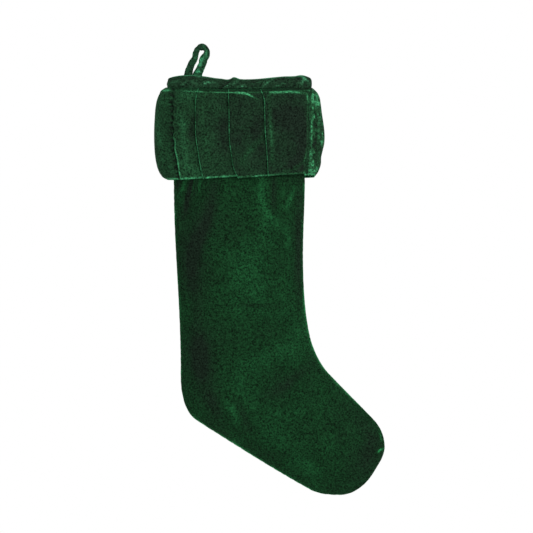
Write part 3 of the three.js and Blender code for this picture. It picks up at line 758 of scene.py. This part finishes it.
# The same for the plain sides: the strip beside the heel-side seam, and the crushed toe side, with
# painted highlights on ridges and corners and painted shade in the furrows.
CUFF_SIDE_MARKS = [
    ([(18, 10), (17, 40), (20, 70), (24, 104)], 3.0, -1.2, -0.2),
    ([(4, 24), (6, 60), (12, 96)], 4, 0.4, 0.3),
    ([(10, 12), (12, 50), (16, 90)], 4, -0.4, -0.2),
    ([(189, 8), (188.6, 50), (187, 92)], 1.8, 0.9, 0.8),
    ([(196, 14), (199, 50), (196, 80)], 4, 0.6, 0.3),
    ([(193.5, 16), (194, 50), (192, 80)], 1.8, -0.9, -0.8),
    ([(184, 88), (190, 96), (192, 104)], 5, 0.8, 1.3),
    ([(186, 6), (193, 9), (199, 26)], 3.6, 0.3, 1.3),
    ([(194, 50), (196, 66), (194, 82)], 4, -0.3, -0.6),
    ([(198, 70), (194, 84), (198, 96)], 2.4, -1.0, -0.5),
]


def cuff_side(points, at):
    return CUFF_LOW[0] + through(points, at)


def heel_seam(down):
    """How far along the cuff its heel-side seam lies, at a distance down."""
    return through(FRONT_LINES[0], down)


def toe_seam(down):
    return through(FRONT_LINES[-1], down)


def cuff_surface(x, down, front, inset=0.0):
    """The y of the cuff's ring at x, a distance down, on its front or back."""
    left, right = cuff_side(CUFF_HEEL_SIDE, down) + inset, cuff_side(CUFF_TOE_SIDE, down) - inset
    away = np.minimum(x - left, right - x)
    depth = through(CUFF_DEPTH, down) - inset
    return SEAM_Y + np.where(front, -1, 1) * depth * rounded(np.maximum(away, 0), CUFF_ROUND)


def hem_rows(rows=90, roll=1.2, turn=6.0):
    """Rows from under the binding to a cuff piece's hem, round the hem and a little way up inside:
    its columns are the share of the height, the extra distance down and the distance inwards."""
    tucked = [(0.0, -1.0, 4.6), (0.0, -0.7, 3.0), (0.0, -0.4, 1.3)]
    face = [(share, 0.0, 0.0) for share in np.linspace(0, 1, rows)]
    bends = np.linspace(0, math.pi, 8)[1:]
    rolled = [(1.0, roll * math.sin(a), roll * (1 - math.cos(a))) for a in bends]
    inner = [(1.0, -turn * t, 2 * roll) for t in (0.3, 0.65, 1.0)]
    return np.array(tucked + face + rolled + inner).T[:, :, None]


PLEAT_LAYER = 1.6  # from one layer of a pleat to the next
PLEAT_LAP = 9.0  # how far each pleat laps over the next


def pleat_row(down):
    """The pleated cloth's path at every row: its x, its lift off the cuff's ring, its hem and its shade,
    which is the panels' painted shade and a painted highlight on each fold's turned edge.
    """
    lines = [CUFF_LOW[0] + through(line, down) for line in FRONT_LINES]
    half_layer = PLEAT_LAYER / 2
    turn = np.linspace(-0.5, 0.5, 7) * np.pi
    last = len(FRONT_HEMS) - 1
    x, lift, hem, shade = [], [], [], []

    def add(at, rise, bottom, tone):
        x.append(at)
        lift.append(rise + 0 * at)
        hem.append(bottom)
        shade.append(tone)

    for i, (start, end) in enumerate(zip(lines[:-1], lines[1:])):
        high, low = FRONT_HEMS[i]
        top = 1.4 if i == 0 else 2 * PLEAT_LAYER
        for s in np.linspace(0.012, 1 if i == last else 0.985, 44):
            distance = s * (end - start)
            slope, belly = top * (1 + math.cos(math.pi * s)) / 2, 1.6 * math.sin(math.pi * s)
            lip = 0.75 * bell(distance - 1.0, 1.3)
            add(start + distance, slope + belly + lip, high + (low - high) * s, PANEL_SHADES[i])
        if i == last:
            break
        under, next_hem = low - 0.6, FRONT_HEMS[i + 1][0]
        for t in (0.2, 0.5, 0.8):
            add(end + PLEAT_LAP * t, 0, under, 0)
        for a in turn:
            add(end + PLEAT_LAP + half_layer * math.cos(a), half_layer * (1 + math.sin(a)), under, 0)
        for t in (0.8, 0.5, 0.2):
            add(end + PLEAT_LAP * t, PLEAT_LAYER, under, 0)
        for a in turn:
            # Each fold's turned edge gets a painted highlight.
            add(end + 0.5 - half_layer * math.cos(a), half_layer * (3 + math.sin(a)), next_hem, 0.9)
    return np.stack(x, 1), np.stack(lift, 1), np.array(hem)[None], np.array(shade)[None]


def seam_ditch(along, down):
    """How far the cloth sinks into the two side seams, at a distance along and down the cuff."""
    return 1.3 * bell(along - heel_seam(down), 1.3) + 0.6 * bell(along - toe_seam(down), 1.2)


def cuff_top(x):
    """The height of the line under the binding where the cuff begins."""
    middle = (x - RIM_CENTRE) / RIM_HALF
    return RIM_HIGH[2] - 14.2 - 3.0 * np.clip(1 - middle**2, 0, 1)


def edge_light(below_top, share, along, down, seed):
    """A painted highlight where the cuff's cloth rolls over at its top and at its hem."""
    top = 1.9 * bell(below_top - 3.3, 0.8) * (0.6 + 0.6 * noise(along, down, 8, seed + 1))
    hem = 1.5 * bell((1 - share) * FRONT_DROP, 0.8)
    return top + hem * (0.9 + 0.4 * noise(along, down, 6, seed))


def pleat_shade(tone_shift, fold, along, down):
    """The shade on the pleated front: the panels' painted shade, painted highlights on its folded edges
    and beside its side seams, and painted shade in the heel-side seam near the top.
    """
    shade = tone_shift + np.where(fold > 0, fold * (1.2 + 0.5 * noise(along, down, 7, 23)), fold)
    past_heel, past_toe = along - heel_seam(down), along - toe_seam(down)
    shade = shade + 1.2 * bell(past_heel - 0.8, 0.8) * np.clip((down - 44) / 20, 0.1, 1)
    shade = shade - 0.8 * bell(past_heel, 1.6) * np.clip((60 - down) / 20, 0, 1)
    return shade + 1.1 * bell(past_toe + 2, 0.9) * np.clip(down / 8, 0, 1)


def cuff_front():
    share, extra, inward = hem_rows()
    # fold holds the panels' painted shade and each fold edge's painted highlight.
    x, lift, hem, fold = pleat_row((share * FRONT_DROP + extra)[:, 0])
    z_top, z_hem = cuff_top(x), CUFF_HIGH[2] - hem
    z = z_top + (z_hem - z_top) * share - extra
    along, down = x - CUFF_LOW[0], CUFF_HIGH[2] - z
    height, tone_shift = strokes(CUFF_FRONT_MARKS, along, down)
    height = height + 0.35 * noise(along, down, 9, 21) + 0.22 * noise(along, down, 4, 22)
    visible = np.clip(lift / 1.2, 0, 1)
    tuck = 0.8 * bell(down, 4.5)
    y = cuff_surface(x, np.minimum(down, CUFF_DROP), True)
    y = y - lift * (1 - 0.45 * tuck) - height * visible + inward
    y = y - 0.6 * bell(along - toe_seam(down) + 2, 1.4)
    shade = pleat_shade(tone_shift, fold, along, down)
    shade = shade + edge_light(z_top - z, share, along, down, 24)
    points = np.stack([x, y, z], -1)
    obj = cloth("cuff_front", points, CUFF_CLOTH, CUFF_VELVET, shade=shade)
    bend(obj)
    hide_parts("cuff_front_pleats")


def ring_positions(down, inset, cols, margin):
    """x of a row that starts at the heel-side seam, goes round the back and ends at the toe-side seam,
    and whether each point is on the front."""
    left, right = cuff_side(CUFF_HEEL_SIDE, down) + inset, cuff_side(CUFF_TOE_SIDE, down) - inset
    heel = CUFF_LOW[0] + heel_seam(down) - margin
    toe = CUFF_LOW[0] + toe_seam(down) + margin
    centre, half = (left + right) / 2, (right - left) / 2
    start = np.arccos(np.clip((heel - centre) / half, -1, 1))
    end = 2 * np.pi + np.arccos(np.clip((toe - centre) / half, -1, 1))
    angle = start[:, None] + (end - start)[:, None] * np.linspace(0, 1, cols)[None]
    return centre[:, None] + half[:, None] * np.cos(angle), np.sin(angle) > 0


def crushed(along):
    """0 over most of the plain cuff, and up to 1 at its crushed toe side."""
    return np.clip((along - 176) / 14, 0, 1)


def plain_height(ridges, along, down, front):
    """How far the plain cuff's cloth stands out: ridges, waves, and puckers beside the heel-side seam."""
    side = 2 * front - 1
    height = ridges * front + 0.5 * noise(along * side, down, 16, 31)
    height = height + (0.3 + 0.8 * crushed(along)) * noise(along * side, down, 5, 32)
    puckers = bell(along - 17, 4) * front
    return height + 1.1 * puckers * np.sin(down * 1.15 + 2 * noise(along, down, 9, 33))


def plain_shade(tone_shift, along, down, front):
    """The plain cuff's shade: random streaks where its pile is crushed, a lighter front near the heel
    side, and painted shade in the puckers beside the heel-side seam and in the toe-side seam.
    """
    side = 2 * front - 1
    streaks = noise(along * side / 1.8, down / 4.5, 1, 34) + 0.8 * noise(along * side, down, 1.7, 35)
    shade = tone_shift * front + crushed(along) * (0.25 + 0.75 * streaks) * front
    shade = shade + 0.15 * (along < 60) * front
    bumps = np.clip(0.55 + 0.75 * np.sin(down * 0.95 + 2.5 * noise(along, down, 9, 33)), 0, 1)
    beside = bell(along - heel_seam(down) + 1.8, 2.2) * front * (along < 60)
    shade = shade - 1.5 * beside * bumps
    return shade - 0.8 * bell(along - toe_seam(down) - 1.5, 0.7) * front


def cuff_back():
    share, extra, inward = hem_rows()
    guess = np.clip(share * (CUFF_DROP - 1) + extra, 0, CUFF_DROP - 0.2)
    x, front = ring_positions(guess[:, 0], 0, 300, -1.2)
    x = x - (x - RIM_CENTRE) * 0.01 * inward * (extra < 0)
    along = x - CUFF_LOW[0]
    toe_strip = np.clip((199 - along) / 5, 0, 1) * (front & (along > 100))
    hem = 107.9 - along / 210 * 3.6 - 2.6 * toe_strip
    z_top, z_hem = cuff_top(x), CUFF_HIGH[2] - hem
    z = z_top + (z_hem - z_top) * share - extra
    down = CUFF_HIGH[2] - z
    ridges, tone_shift = strokes(CUFF_SIDE_MARKS, along, down)
    height = plain_height(ridges, along, down, front)
    outward = np.where(front, -1, 1)
    y = cuff_surface(x, guess, front)
    y = y + outward * (height - inward) - outward * seam_ditch(along, down) * front
    shade = plain_shade(tone_shift, along, down, front)
    shade = shade + edge_light(z_top - z, share, along * -outward, down, 36)
    points = np.stack([x, y, z], -1)
    obj = cloth("cuff_sides_and_back", points, CUFF_CLOTH, CUFF_VELVET, shade=shade)
    bend(obj)
    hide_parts("cuff_back_panel")


FACING_INSET = 3.4  # how far inside the cuff's ring its facings lie
FACING_GAP = 0.6  # between a facing's edge and the side seams


def facing(name, x, down, front):
    y = cuff_surface(x, down[:, None], front, FACING_INSET)
    z = np.broadcast_to(CUFF_HIGH[2] - down[:, None], x.shape)
    obj = cloth(name, np.stack([x, y, z], -1), SATIN, SATIN_LINING)
    bend(obj)
    return obj


def cuff_facings():
    down = np.linspace(3, 103, 40)
    x, front = ring_positions(down, FACING_INSET, 120, FACING_GAP)
    back = facing("facing_of_back", x, down, front)
    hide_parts("cuff_back_facing")
    left = CUFF_LOW[0] + heel_seam(down) + FACING_GAP
    right = CUFF_LOW[0] + toe_seam(down) - FACING_GAP
    x = left[:, None] + (right - left)[:, None] * np.linspace(0, 1, 70)[None]
    face = facing("facing_of_front", x, np.linspace(3, 99, 40), True)
    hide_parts("cuff_front_facing")


def hem_stitches(name, node, x, down, front, inset):
    y = cuff_surface(x, np.full(len(x), down), front, inset)
    z = np.full(len(x), CUFF_HIGH[2] - down)
    obj = stitches(name, np.stack([x, y, z], 1), 2.6, 1.4, 0.3)
    bend(obj)
    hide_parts(node)


def cuff_threads():
    x = np.linspace(CUFF_LOW[0] + 34, CUFF_LOW[0] + 176, 80)
    hem_stitches("cuff_front_hem_stitches", "cuff_front_hem_thread", x, 98.0, True, 2.6)
    x, front = ring_positions(np.array([101.0]), 2.0, 120, 3)
    hem_stitches("cuff_back_hem_stitches", "cuff_back_hem_thread", x[0], 101.0, front[0], 2.0)
    down = np.linspace(6, 98, 60)
    for name, node, along in (
        ("cuff_heel_side_seam", "cuff_heel_seam_thread", heel_seam(down) - 0.2),
        ("cuff_toe_side_seam", "cuff_toe_seam_thread", toe_seam(down) + 0.2),
    ):
        x = CUFF_LOW[0] + along
        y = cuff_surface(x, down, True) + 2.2
        obj = stitches(name, np.stack([x, y, CUFF_HIGH[2] - down], 1), 2.2, 0.6, 0.35)
        bend(obj)
        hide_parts(node)


def bend(obj):
    """Bakes a cuff piece's placement into its mesh."""
    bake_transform(obj)


# ---- hanging loop --------------------------------------------------------------------------------

# The strap's middle line from one sewn end over the hook to the other, with its width and thickness.
STRAP = [
    (-12.5, -53, 8.0, 2.2),
    (-14.6, -42, 10.0, 2.4),
    (-16.8, -28, 10.6, 2.8),
    (-15.2, -21, 8.6, 3.0),
    (-13.0, -15.3, 8.4, 3.2),
    (-9.0, -8.3, 7.0, 3.4),
    (-7.5, -1.3, 7.2, 3.6),
    (-5.0, 3.6, 6.8, 3.8),
    (-0.2, 5.2, 8.6, 4.2),
    (4.9, 1.9, 6.6, 3.8),
    (5.2, -3.6, 8.4, 3.6),
    (1.6, -9.5, 10.0, 3.4),
    (0.0, -15.3, 9.4, 3.2),
    (-2.5, -21, 9.8, 3.0),
    (-6.0, -29, 11.4, 2.8),
    (-7.8, -42, 10.0, 2.4),
    (-8.6, -53, 8.0, 2.2),
]


def strap_middle(steps=300):
    """The strap's middle line: distance travelled, points, and the width and thickness at each."""
    knots = np.array(STRAP)
    gaps = np.hypot(*np.diff(knots[:, :2], axis=0).T)
    travel = np.concatenate([[0], np.cumsum(gaps)])
    at = np.linspace(0, travel[-1], steps)
    x, z, width, thick = (through(np.stack([travel, knots[:, k]], 1), at) for k in range(4))
    apart = np.where(at < at[-1] / 2, 1.0, -1.0) * np.clip((-z - 30) / 14, 0, 1)
    return at, np.stack([x, 1.5 * apart, z], 1), width, thick


def squared(value, power):
    return np.sign(value) * np.abs(value) ** power


def strap_shade(at, line, across, angle):
    """The shade on the strap: painted highlights along its edges and down its second leg, painted shade
    under its top bend, and random tone.
    """
    edgewise = np.cos(angle)
    second = np.clip((at / at[-1] - 0.52) * 12, 0, 1)[:, None]
    under = bell(line[:, :1], 4) * (line[:, 2:] > 2)
    shade = 0.7 * noise(at[:, None], 5 * edgewise[None], 3, 43)
    shade = shade + second * (0.8 * bell(edgewise - 0.2, 0.4) + 0.2)[None]
    shade = shade + 0.6 * bell(np.abs(edgewise) - 0.97, 0.12)[None] - 0.25
    return shade - 1.2 * under * np.clip(-np.sign(across[:, 2:3]) * edgewise[None], 0, 1)


def hanging_loop(around=32):
    at, line, width, thick = strap_middle()
    tangent = np.gradient(line, axis=0)
    tangent /= np.linalg.norm(tangent, axis=1, keepdims=True)
    across = np.stack([tangent[:, 2], np.zeros(len(at)), -tangent[:, 0]], 1)
    angle = np.arange(around) / around * 2 * np.pi
    crumple = 0.35 * noise(at[:, None], 6 * np.cos(angle)[None], 4, 41)
    crumple = crumple + 0.25 * noise(at[:, None], 6 * np.sin(angle)[None], 2.2, 42)
    sideways = (width[:, None] / 2 + crumple) * squared(np.cos(angle), 0.75)
    points = line[:, None] + across[:, None] * sideways[..., None]
    points[..., 1] += squared(np.sin(angle), 0.85)[None] * (thick[:, None] / 2 + crumple)
    shade = strap_shade(at, line, across, angle)
    obj = skin("strap_loop", points, STRAP_VELVET, shade=shade)
    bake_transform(obj)
    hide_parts("hanging_loop", "loop_tails")


def bar_tack(turns=32):
    """A zigzag of stitches that holds the strap's ends."""
    odd = np.arange(turns) % 2
    zigzag = np.stack([-16.0 + 0.36 * np.arange(turns), -2.9 - 0.2 * odd, -42 - 3 * odd], 1)
    obj = stitches("strap_bar_tack", zigzag, 2.6, 0.5, 0.35)
    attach(obj, "stocking")
    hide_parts("loop_bar_tack")


# ---- the scene -----------------------------------------------------------------------------------


FLOOR_DROP, FLOOR_RADIUS = 0.12, 0.9  # metres


def studio():
    """A pale floor under the object, white surroundings and soft lights."""
    centre = (np.array(cad_bounds[0]) + np.array(cad_bounds[1])) / 2
    under = (centre[0], centre[1], cad_bounds[0][2] - FLOOR_DROP)
    bpy.ops.mesh.primitive_circle_add(vertices=96, radius=FLOOR_RADIUS, fill_type="NGON", location=under)
    floor = bpy.context.object
    floor.name = "floor"
    floor.data.materials.append(floor_material("floor"))
    world = bpy.data.worlds.new("white surroundings")
    bpy.context.scene.world = world
    world.use_nodes = True
    world.node_tree.nodes["Background"].inputs["Color"].default_value = (1, 1, 1, 1)
    world.node_tree.nodes["Background"].inputs["Strength"].default_value = 1.0
    for name, place, size, power in (
        ("key", (0.9, -1.3, 0.5), 0.7, 26),
        ("fill", (-1.2, -1.2, -0.2), 1.0, 8),
        ("back", (-0.4, 1.4, 0.3), 1.2, 14),
    ):
        light = bpy.data.lights.new(name, "AREA")
        light.size, light.energy = size, power
        lamp = bpy.data.objects.new(name, light)
        lamp.location = centre + np.array(place)
        towards = Vector(centre) - lamp.location
        lamp.rotation_euler = towards.to_track_quat("-Z", "Y").to_euler()
        bpy.context.scene.collection.objects.link(lamp)


def camera():
    """A long lens straight in front, as far off as keeps the whole stocking in a square picture."""
    distance, across, sensor = 5.0, 0.6396, 36
    data = bpy.data.cameras.new("camera")
    data.sensor_width = sensor
    data.lens = sensor * distance / across
    data.clip_end = 50
    view = bpy.data.objects.new("camera", data)
    view.location = (0.0774, LEG_LOW[1] * MM - distance, -0.2592)
    view.rotation_euler = (math.pi / 2, 0, 0)
    bpy.context.scene.collection.objects.link(view)
    bpy.context.scene.camera = view


leg_and_lining()
rim_binding()
cuff_front()
cuff_back()
cuff_facings()
cuff_threads()
hanging_loop()
bar_tack()
studio()
camera()
bpy.context.scene.view_settings.view_transform = "Standard"
